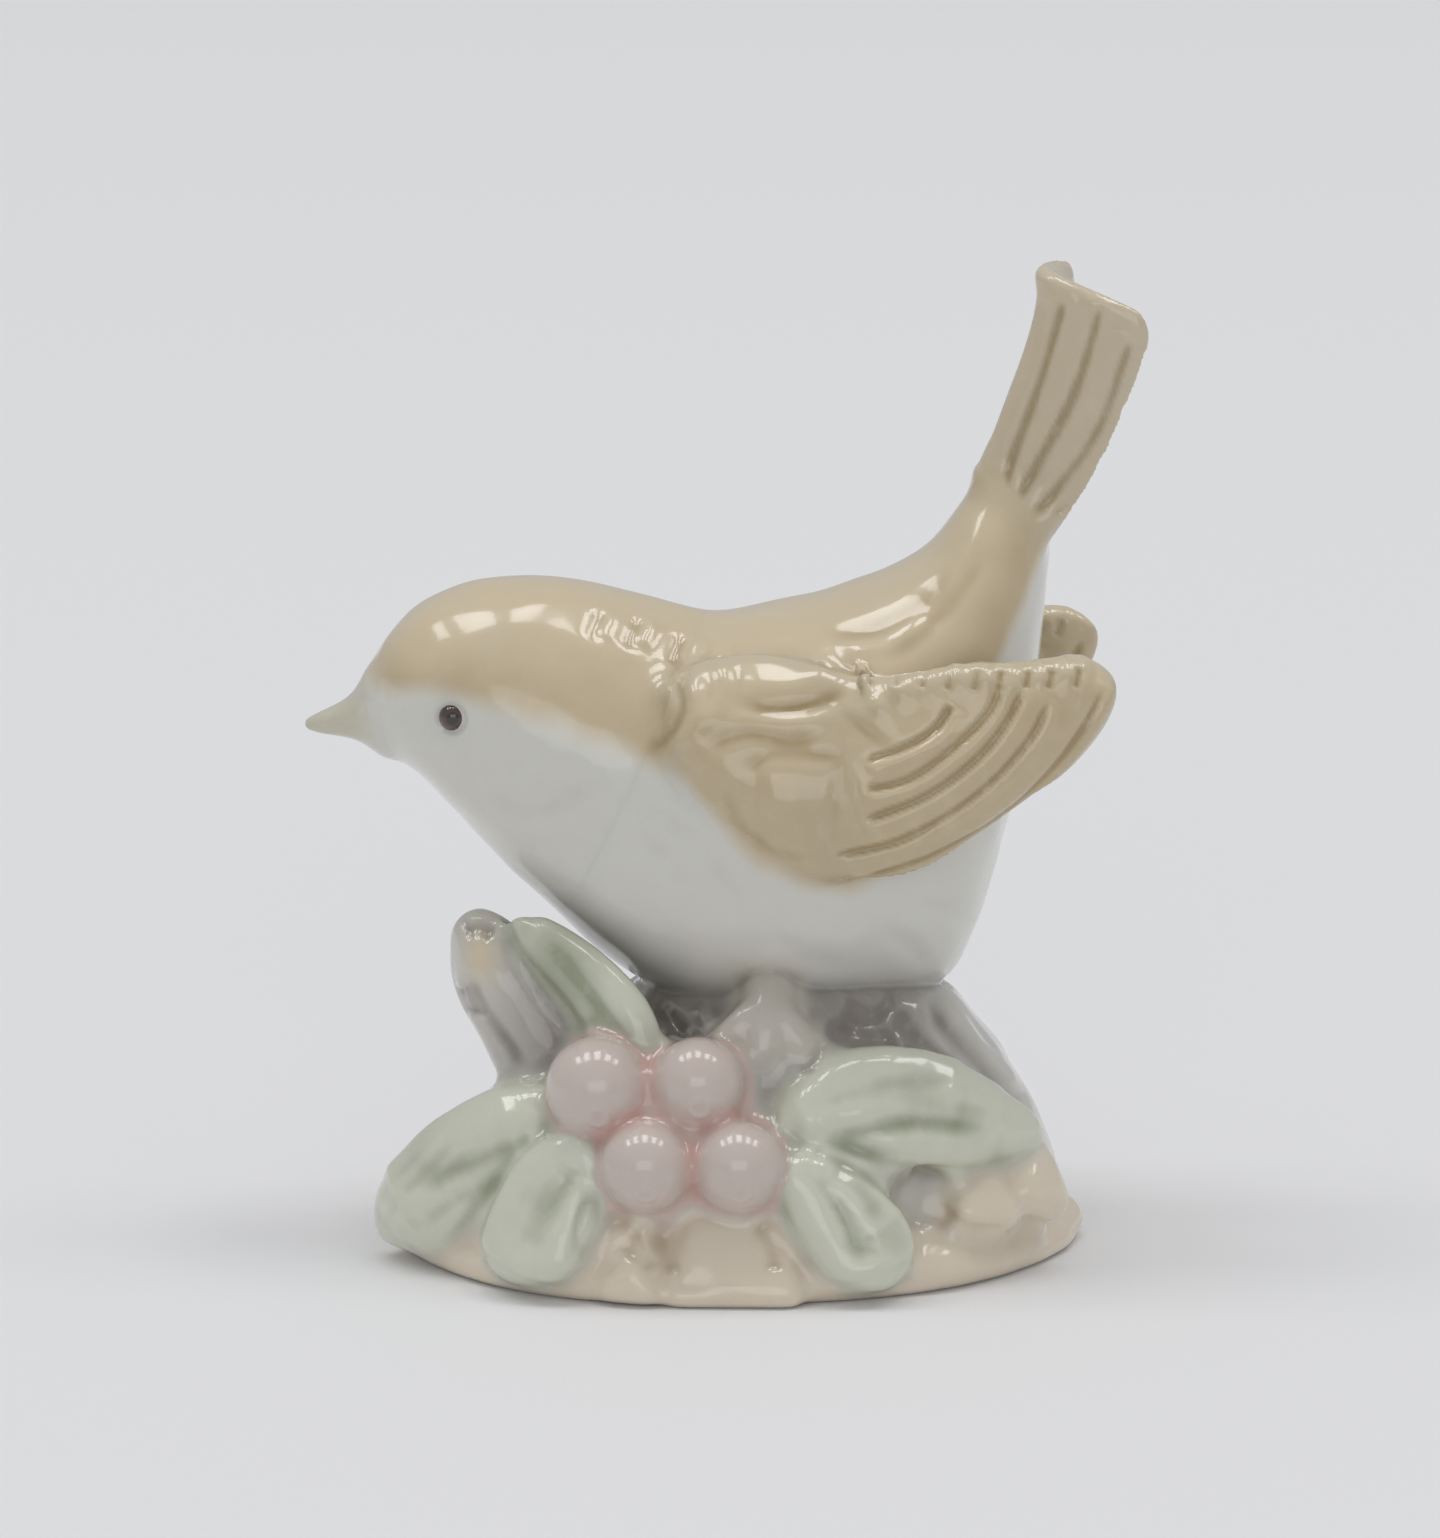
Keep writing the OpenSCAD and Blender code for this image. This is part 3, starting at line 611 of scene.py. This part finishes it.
# Creases between the slab, the chips and the pebbles: line, half width, height or depth
GROUND_CREASES = [
    ([(-12.6, 9.8), (-9.8, 7.6), (-10.6, 4.6)], 1.2, -0.6),
    ([(-9.4, 8.4), (-8.2, 5.8), (-7.4, 3.4)], 1.0, -0.5),
    ([(-6.4, 8.9), (-6.6, 6.0), (-5.6, 3.2)], 1.0, -0.5),
    ([(2.6, 8.6), (4.2, 6.2), (4.6, 3.4)], 1.1, -0.6),
    ([(-6.0, 8.9), (-2.0, 9.5), (2.2, 8.9)], 1.0, 0.5),
    ([(15.6, 10.4), (18.6, 8.0), (23.0, 6.4)], 1.0, -0.55),
    ([(21.0, 9.0), (24.0, 6.6), (29.0, 5.8)], 0.7, -0.4),
]
for line, width, height in GROUND_CREASES:
    stroke(share(["ground_base"] + STONES, 0.7) * to_front, line, width, height, 0.25 if height < 0 else 0.0, 0.2)

wood = share(["stump", "branch_stub"], 0.7)
for line, width, height in BARK:
    stroke(wood * to_front, line, width, height, 0.75 if height < 0 else 0.0, 0.2)
behind = wood * ramp(normals[:, 1], -0.2, 0.3)
round_stump = np.degrees(np.arctan2(q[:, 1], q[:, 0] - 6.0)) + 1.6 * q[:, 2]
raised += behind * 0.7 * np.sin(np.radians(round_stump * 11)) * (0.6 + 0.4 * wave(q, 14, 5))

balls = {n: np.array(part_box(n)[0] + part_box(n)[1]) * MM / 2 for n in BERRIES}
berry = near(BERRIES, 0.6, 0.1)
for name, middle in balls.items():
    ball_r = float(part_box(name)[1].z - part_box(name)[0].z) * MM / 2
    calyx = middle + ball_r * np.array([0.04, -0.93, -0.36])
    d = np.linalg.norm(points - calyx, axis=1)
    raised += near([name], 0.4, 0.1) * (0.17 * np.exp(-((d - 0.95) / 0.3) ** 2) - 0.1 * np.exp(-(d / 0.6) ** 2))

eyes = {n: np.array(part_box(n)[0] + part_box(n)[1]) * MM / 2 for n in ("left_eye", "right_eye")}
EYE_R = float(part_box("left_eye")[1].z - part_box("left_eye")[0].z) * MM / 2
for middle in eyes.values():
    d = np.linalg.norm((points - middle) * [1, 0.4, 1], axis=1)
    raised += 0.16 * np.exp(-((d - EYE_R - 0.45) / 0.4) ** 2) - 0.1 * np.exp(-((d - EYE_R) / 0.22) ** 2)
    pool_and_shade = np.maximum(pool_and_shade, 0.45 * np.exp(-((d - EYE_R - 0.05) / 0.3) ** 2))

feathered = share(["body_shell", "head_shell"], 0.5)
raised += feathered * 0.07 * wave(q * [1, 1, 1.6], 7, 1)
raised += wings * 0.05 * wave(q, 6, 2)
raised += share(["ground_base"], 0.7) * ramp(q[:, 2], 0.6, 2.0) * 0.3 * wave(q, 9, 3)
raised += wood * 0.16 * wave(q * [1, 1, 0.6], 5, 4)
raised += share(LEAVES, 0.7) * ramp(q[:, 2], 0.6, 2.0) * 0.14 * wave(q, 8, 6)
raised *= ramp(q[:, 2], 0.05, 0.7)
unpressed, unpressed_normals = points, normals
points = points + normals * raised[:, None]
normals = normals_of(points, quads)

# ---------- cavity: how far the skin is sunk below its softened self ----------

links = np.concatenate([quads[:, [0, 1]], quads[:, [1, 2]], quads[:, [2, 3]], quads[:, [3, 0]]])
valence = np.bincount(links[:, 0], minlength=len(points))


def relaxed(values, rounds):
    """Values at the skin's points, each moved half way to its neighbours' mean in each round."""
    for _ in range(rounds):
        means = [np.bincount(links[:, 0], values[links[:, 1], k], len(points)) / valence
                 for k in range(values.shape[1])]
        values = 0.5 * values + 0.5 * np.stack(means, 1)
    return values


FINE_ROUNDS = 10          # smooths away the grooves
BROAD_ROUNDS = 40         # smooths away the folds and joints too
fine = relaxed(points, FINE_ROUNDS)
broad = relaxed(fine, BROAD_ROUNDS)
sunk_fine = ((fine - points) * normals).sum(1)
sunk_broad = ((broad - points) * normals).sum(1)
# Colour pools in the fine grooves; the broad term is painted shade in recesses, folds and joints between parts
pool_and_shade = np.clip(pool_and_shade + 3.2 * sunk_fine + 1.0 * sunk_broad - 0.02, 0, 1)

# ---------- airbrushed colours and painted shade ---

x, y, z = q.T
# The fawn's lower edge, from the forehead along the shoulder and under the wing to the root of the tail
CAP_EDGE = np.array([(-37, 58.6), (-31, 59.6), (-26, 59.2), (-20, 57.4), (-14, 55.6), (-9, 53.6), (-4, 51.0),
                     (0, 46.2), (3, 43.4), (7, 41.6), (12, 40.8), (15.5, 43), (19, 50), (23.5, 56.5),
                     (28.5, 66), (33, 75)])
edge = np.interp(x, CAP_EDGE[:, 0], CAP_EDGE[:, 1]) + 0.5 * wave(q, 8, 7)
feathers = share(["body_shell", "head_shell", "left_wing", "right_wing", "tail"], 0.5)
fawn = ramp(z - edge, -1.8, 1.9)
fawn = np.maximum(fawn, wings * ramp(x + 0.8 * (z - 44), 3, 10))
fawn = np.maximum(fawn, share(["tail"], 1.0)) * feathers * (1 - 0.1 * on_tail)
horn = share(["beak"], 0.7)
leaf = share(LEAVES, 0.7)
feet = share(["left_foot", "right_foot"], 0.8)
bark = np.maximum(wood, 0.9 * feet) * ramp(z, 7.0, 12) * (1 - 0.55 * ramp(x, 20, 31))
berry = share(BERRIES, 0.3)
rivals = np.sort([gap[n] for n in BERRIES], axis=0)[1]
rose = np.clip(near(BERRIES, 1.6, 0.4) * (ramp(rivals, 2.4, 0.2) * 0.9 + 0.35 * pool_and_shade), 0, 1)
rose *= 0.35 + 0.65 * share(BERRIES, 1.2)
foot_paint = feet * ramp(z + 1.2 * wave(q, 4, 9), 21.0, 24.5)
stub_end = share(["branch_stub"], 0.6) * to_front * np.exp(-(((x + 25.2) / 2.5) ** 2 + ((z - 32.2) / 3.6) ** 2))
peach = share(["ground_base"] + STONES, 0.8)
fawn = np.maximum(fawn, np.maximum(0.8 * foot_paint, 0.85 * stub_end))
bark *= 1 - stub_end
bisque = ramp(-normals[:, 2], 0.7, 0.95) * ramp(z, 0.5, 0.1)
masks = {"fawn": fawn, "horn": horn, "leaf": leaf, "bark": bark, "berry": berry, "rose": rose, "peach": peach,
         "bisque": bisque}
painted_belly_shade = ramp(x, -26, -16) * ramp(24 - x, 0, 8) * ramp(z, 8, 18)   # painted shade: the stump is darker on the belly's side, where the belly shades it
# Painted shade: fawn plumage facing sideways is darker than where it faces up, except on the tail
painted_side_shade = (1 - ramp(normals[:, 2], 0.1, 0.8)) * fawn * feathers * (1 - share(["tail"], 1.5))
# The painted shade joins the pooled colour here, and the upper leaf is made darker all over
pool_and_shade = np.clip(pool_and_shade + 0.8 * painted_belly_shade * np.maximum(wood, feet) * (1 - foot_paint)
               + 0.5 * share(["upper_leaf"], 0.7) + 0.42 * painted_side_shade, 0, 1)
# Leaves: a random wash, plus painted shade in broad troughs and painted light on broad ridges
leaf_wash_and_trough_shade = np.clip(leaf * (0.30 * wave(q, 11, 8) + 1.6 * sunk_broad), -0.5, 0.6)
masks["pool_and_shade"] = np.clip(pool_and_shade + leaf_wash_and_trough_shade, 0, 1)

# ---------- pieces ----------

# How thick a shell the clay under each point has room for
SHELL_STEPS = (0.15, 0.3, 0.45, 0.6, 0.8, 1.0, 1.2)
WIDEST_STEP = 0.21        # a shell grows by one step at a time, so a thin place stops it
CLAY_SHARE = 0.75         # the clay has to be this deep, as a part of the reach
shell = np.full(len(points), SHELL_STEPS[0])
for step in SHELL_STEPS[1:]:
    reach = step + np.abs(raised)
    room = sample(melted, unpressed - unpressed_normals * reach[:, None]) < -CLAY_SHARE * reach
    shell = np.where(room & (shell >= step - WIDEST_STEP), step, shell)
shell = np.minimum(shell, relaxed(shell[:, None], 12)[:, 0])
lining = points - normals * shell[:, None]


def build_piece(name):
    """Cuts one piece out of the skin as a closed shell of clay."""
    mine = quads[face_label == piece_names.index(name)]
    n = len(points)
    heads = mine.reshape(-1)
    tails = np.roll(mine, -1, 1).reshape(-1)
    rim = ~np.isin(heads * n + tails, tails * n + heads)
    used, compact = np.unique(heads, return_inverse=True)
    count = len(used)
    place = np.zeros(n, np.int64)
    place[used] = np.arange(count)
    front = compact.reshape(-1, 4)
    back = front[:, ::-1] + count
    a, b = place[heads[rim]], place[tails[rim]]
    walls = np.stack([b, a, a + count, b + count], 1)
    faces = np.concatenate([front, back, walls])
    mesh = bpy.data.meshes.new("skin_" + name)
    mesh.vertices.add(2 * count)
    mesh.vertices.foreach_set("co", (np.concatenate([points[used], lining[used]]) / MM).ravel())
    mesh.loops.add(faces.size)
    mesh.loops.foreach_set("vertex_index", faces.ravel().astype(np.int32))
    mesh.polygons.add(len(faces))
    mesh.polygons.foreach_set("loop_start", np.arange(0, faces.size, 4, dtype=np.int32))
    mesh.update(calc_edges=True)
    mesh.polygons.foreach_set("use_smooth", np.ones(len(faces), bool))
    mesh.normals_split_custom_set_from_vertices(np.concatenate([normals[used], -normals[used]]).tolist())
    for key, values in masks.items():
        layer = mesh.attributes.new(key, "FLOAT", "POINT")
        layer.data.foreach_set("value", np.tile(values[used], 2).astype(np.float32))
    piece = bpy.data.objects.new("skin_" + name, mesh)
    bpy.context.scene.collection.objects.link(piece)
    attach(piece, "root")
    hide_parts(name)
    return piece


# ---------- glaze ----------

# Each paint: thin colour, and its colour where it pools in grooves and where shade is painted
PAINTS = [
    ("fawn", (0.69, 0.58, 0.40), (0.39, 0.285, 0.135)),
    ("horn", (0.60, 0.57, 0.46), (0.42, 0.39, 0.29)),
    ("bark", (0.56, 0.54, 0.50), (0.25, 0.225, 0.21)),
    ("peach", (0.76, 0.665, 0.53), (0.56, 0.43, 0.29)),
    ("leaf", (0.66, 0.68, 0.565), (0.33, 0.36, 0.25)),
    ("berry", (0.62, 0.535, 0.49), (0.62, 0.41, 0.36)),
    ("rose", (0.60, 0.36, 0.31), (0.50, 0.19, 0.15)),
]
WHITE = (0.68, 0.675, 0.625)
# The white's grey where glaze pools in grooves and where shade is painted
WHITE_POOL_AND_SHADE = (0.60, 0.585, 0.53)


def glaze(name, speckle, grain):
    """Clear glaze over airbrushed colour, darker where colour pools and where shade is painted. speckle is the size of
    the mottling and grain its strength.
    """
    material = bpy.data.materials.new(name)
    material.use_nodes = True
    tree = material.node_tree
    shader = tree.nodes["Principled BSDF"]

    def node(kind, **values):
        made = tree.nodes.new(kind)
        for key, value in values.items():
            setattr(made, key, value)
        return made

    def mix(share, a, b, how="MIX"):
        made = node("ShaderNodeMix", data_type="RGBA", blend_type=how, clamp_factor=True)
        for socket, value in ((made.inputs[0], share), (made.inputs[6], a), (made.inputs[7], b)):
            if isinstance(value, bpy.types.NodeSocket):
                tree.links.new(value, socket)
            elif isinstance(value, tuple):
                socket.default_value = (*value, 1)
            else:
                socket.default_value = value
        return made.outputs[2]

    def maths(operation, a, b):
        made = node("ShaderNodeMath", operation=operation, use_clamp=True)
        for socket, value in zip(made.inputs, (a, b)):
            if isinstance(value, bpy.types.NodeSocket):
                tree.links.new(value, socket)
            else:
                socket.default_value = value
        return made.outputs[0]

    def mask(key):
        return node("ShaderNodeAttribute", attribute_name=key).outputs["Fac"]

    place = node("ShaderNodeTexCoord").outputs["Object"]

    def noise(scale, detail=3.0):
        made = node("ShaderNodeTexNoise")
        made.inputs["Scale"].default_value = scale
        made.inputs["Detail"].default_value = detail
        tree.links.new(place, made.inputs["Vector"])
        return made.outputs["Fac"]

    mottle = noise(1000.0 / speckle)
    cloud = noise(1000.0 / 9.0)
    # How much pooled colour and painted shade there is, mottled
    pooled_and_shaded = maths("MULTIPLY", mask("pool_and_shade"), maths("ADD", mottle, 0.55))
    colour = mix(pooled_and_shaded, WHITE, WHITE_POOL_AND_SHADE)
    for key, thin, deep in PAINTS:
        uneven = maths("MULTIPLY", mask(key), maths("ADD", maths("MULTIPLY", cloud, 0.5), 0.78))
        colour = mix(uneven, colour, mix(pooled_and_shaded, thin, deep))
    colour = mix(maths("MULTIPLY", mottle, grain), colour, (0.86, 0.84, 0.80), "MULTIPLY")
    colour = mix(mask("bisque"), colour, (0.72, 0.68, 0.62))
    tree.links.new(colour, shader.inputs["Base Color"])
    gloss = node("ShaderNodeMapRange")
    gloss.inputs["To Min"].default_value = 0.13
    gloss.inputs["To Max"].default_value = 0.24
    tree.links.new(mottle, gloss.inputs["Value"])
    roughness = maths("ADD", gloss.outputs["Result"], maths("MULTIPLY", mask("bisque"), 0.55))
    tree.links.new(roughness, shader.inputs["Roughness"])
    bump = node("ShaderNodeBump")
    bump.inputs["Strength"].default_value = 0.12
    bump.inputs["Distance"].default_value = 0.0002
    tree.links.new(noise(1000.0 / 2.2, 2.0), bump.inputs["Height"])
    tree.links.new(bump.outputs["Normal"], shader.inputs["Normal"])
    shader.inputs["IOR"].default_value = 1.5
    shader.inputs["Coat Weight"].default_value = 0.6
    shader.inputs["Coat Roughness"].default_value = 0.06
    shader.inputs["Subsurface Weight"].default_value = 0.12
    shader.inputs["Subsurface Radius"].default_value = (0.002, 0.0017, 0.0013)
    shader.inputs["Subsurface Scale"].default_value = 1.0
    return material


# Record slot: size of the mottling in millimetres and its strength
GLAZES = {
    "plumage_white": (3.0, 0.25), "plumage_fawn": (2.2, 0.4), "beak_horn": (1.2, 0.5), "wing_fawn": (1.8, 0.45),
    "foot_peach": (1.2, 0.4), "ground_peach": (2.4, 0.45), "bark_lavender": (1.6, 0.6), "leaf_green": (2.0, 0.5),
    "berry_pink": (1.4, 0.35),
}
SLOT_OF = {"body_shell": "plumage_white", "head_shell": "plumage_fawn", "beak": "beak_horn", "tail": "wing_fawn",
           "left_wing": "wing_fawn", "right_wing": "wing_fawn", "left_foot": "foot_peach", "right_foot": "foot_peach",
           "ground_base": "ground_peach", "stump": "bark_lavender", "branch_stub": "bark_lavender"}
SLOT_OF.update({n: "leaf_green" for n in LEAVES})
SLOT_OF.update({n: "ground_peach" for n in STONES})
SLOT_OF.update({n: "berry_pink" for n in BERRIES})
glazes = {slot: glaze("glaze_" + slot, *look) for slot, look in GLAZES.items()}
for name in piece_names:
    piece = build_piece(name)
    piece.data.materials.append(glazes[SLOT_OF[name]])


def enamel_material():
    """Dark brown enamel with a deeper pupil and a warm ring."""
    material = bpy.data.materials.new("eye_enamel")
    material.use_nodes = True
    tree = material.node_tree
    shader = tree.nodes["Principled BSDF"]
    disc = tree.nodes.new("ShaderNodeAttribute")
    disc.attribute_name = "disc"
    place = tree.nodes.new("ShaderNodeTexCoord")
    grain = tree.nodes.new("ShaderNodeTexNoise")
    grain.inputs["Scale"].default_value = 2500.0
    tree.links.new(place.outputs["Object"], grain.inputs["Vector"])
    wobble = tree.nodes.new("ShaderNodeMath")
    wobble.operation = "MULTIPLY_ADD"
    wobble.inputs[1].default_value = 0.16
    tree.links.new(grain.outputs["Fac"], wobble.inputs[0])
    tree.links.new(disc.outputs["Fac"], wobble.inputs[2])
    rings = tree.nodes.new("ShaderNodeValToRGB")
    stops = [(0.0, (0.012, 0.008, 0.007)), (0.48, (0.016, 0.010, 0.008)), (0.62, (0.075, 0.038, 0.026)),
             (0.86, (0.045, 0.024, 0.018)), (1.0, (0.02, 0.013, 0.011))]
    while len(rings.color_ramp.elements) < len(stops):
        rings.color_ramp.elements.new(0.5)
    for element, (at, colour) in zip(rings.color_ramp.elements, stops):
        element.position = at
        element.color = (*colour, 1)
    tree.links.new(wobble.outputs[0], rings.inputs["Fac"])
    tree.links.new(rings.outputs["Color"], shader.inputs["Base Color"])
    shader.inputs["Roughness"].default_value = 0.08
    shader.inputs["Coat Weight"].default_value = 1.0
    shader.inputs["Coat Roughness"].default_value = 0.02
    return material


def build_eye(name, middle, material):
    """A turned enamel bead: a full dome outside, a shallow step at the rim and a flat-ended stem in the head."""
    side = -1 if middle[1] < CENTRE[1] else 1
    profile = [(0.0, 0.93)]
    profile += [(math.sin(a), 0.93 * math.cos(a)) for a in np.linspace(0.06, 1.45, 22)]
    profile += [(0.97, 0.02), (0.93, -0.12), (0.9, -0.3), (0.72, -0.62), (0.5, -0.8), (0.0, -0.84)]
    turns = 64
    corners, faces, disc = [], [], []
    for radius, out in profile:
        for k in range(turns):
            a = 2 * math.pi * k / turns
            corners.append(middle + EYE_R * np.array([radius * math.cos(a), side * out, radius * math.sin(a)]))
            disc.append(radius)
    for row in range(len(profile) - 1):
        for k in range(turns):
            a, b = row * turns + k, row * turns + (k + 1) % turns
            face = (a, b, b + turns, a + turns)
            faces.append(face[::-1] if side < 0 else face)
    mesh = bpy.data.meshes.new("bead_" + name)
    mesh.from_pydata((np.array(corners) / MM).tolist(), [], faces)
    mesh.attributes.new("disc", "FLOAT", "POINT").data.foreach_set("value", np.array(disc, np.float32))
    mesh.polygons.foreach_set("use_smooth", np.ones(len(faces), bool))
    work = bmesh.new()
    work.from_mesh(mesh)
    bmesh.ops.remove_doubles(work, verts=work.verts, dist=1e-7)
    work.to_mesh(mesh)
    work.free()
    bead = bpy.data.objects.new("bead_" + name, mesh)
    bpy.context.scene.collection.objects.link(bead)
    mesh.materials.append(material)
    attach(bead, "root")
    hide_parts(name)


enamel = enamel_material()
for name, middle in eyes.items():
    build_eye(name, middle, enamel)

# ---------- stage ----------

FLOOR_REACH = 30.0        # metres, and so are the lights' sizes and places
floor_mesh = bpy.data.meshes.new("floor")
floor_corners = [(i * FLOOR_REACH, j * FLOOR_REACH, 0) for i, j in ((-1, -1), (1, -1), (1, 1), (-1, 1))]
floor_mesh.from_pydata(floor_corners, [], [(0, 1, 2, 3)])
floor = bpy.data.objects.new("floor", floor_mesh)
bpy.context.scene.collection.objects.link(floor)
paper = bpy.data.materials.new("paper")
paper.use_nodes = True
paper.node_tree.nodes["Principled BSDF"].inputs["Base Color"].default_value = (0.86, 0.86, 0.87, 1)
paper.node_tree.nodes["Principled BSDF"].inputs["Roughness"].default_value = 0.8
floor_mesh.materials.append(paper)

world = bpy.data.worlds.new("studio")
bpy.context.scene.world = world
world.use_nodes = True
world.node_tree.nodes["Background"].inputs["Color"].default_value = (0.97, 0.98, 1.0, 1)
world.node_tree.nodes["Background"].inputs["Strength"].default_value = 0.46



def area_light(name, size, energy, place, tilt=0.0):
    """A rectangular light that faces down, or is tilted up towards +Y by some degrees."""
    data = bpy.data.lights.new(name, "AREA")
    data.shape = "RECTANGLE"
    data.size, data.size_y = size
    data.energy = energy
    lamp = bpy.data.objects.new(name, data)
    lamp.location = place
    lamp.rotation_euler = (math.radians(tilt), 0, 0)
    bpy.context.scene.collection.objects.link(lamp)


PANELS = 5                # a row of ceiling panels, which make the small bright squares on the glaze
PANEL_SPACING = 2.7
PANEL_HEIGHT = 8.0
for k in range(PANELS):
    area_light(f"panel_{k}", (1.5, 3.2), 66.0, ((k - PANELS // 2) * PANEL_SPACING, 0.0, PANEL_HEIGHT))
area_light("front_fill", (6.0, 3.5), 70.0, (0.0, -8.0, 2.2), 76)

LOOK_AT = CENTRE + np.array([-0.9, 0.0, 49.5])
CAMERA_DISTANCE = 650.0
CAMERA_TILT = math.radians(11.0)
camera_data = bpy.data.cameras.new("camera")
camera_data.lens = 148.3
camera_data.sensor_width = 36.0
camera_data.sensor_fit = "AUTO"
camera = bpy.data.objects.new("camera", camera_data)
camera.location = (LOOK_AT + CAMERA_DISTANCE * np.array([0.0, -math.cos(CAMERA_TILT), math.sin(CAMERA_TILT)])) / MM
camera.rotation_euler = (math.pi / 2 - CAMERA_TILT, 0.0, 0.0)
bpy.context.scene.collection.objects.link(camera)
bpy.context.scene.camera = camera
bpy.context.scene.view_settings.view_transform = "Standard"
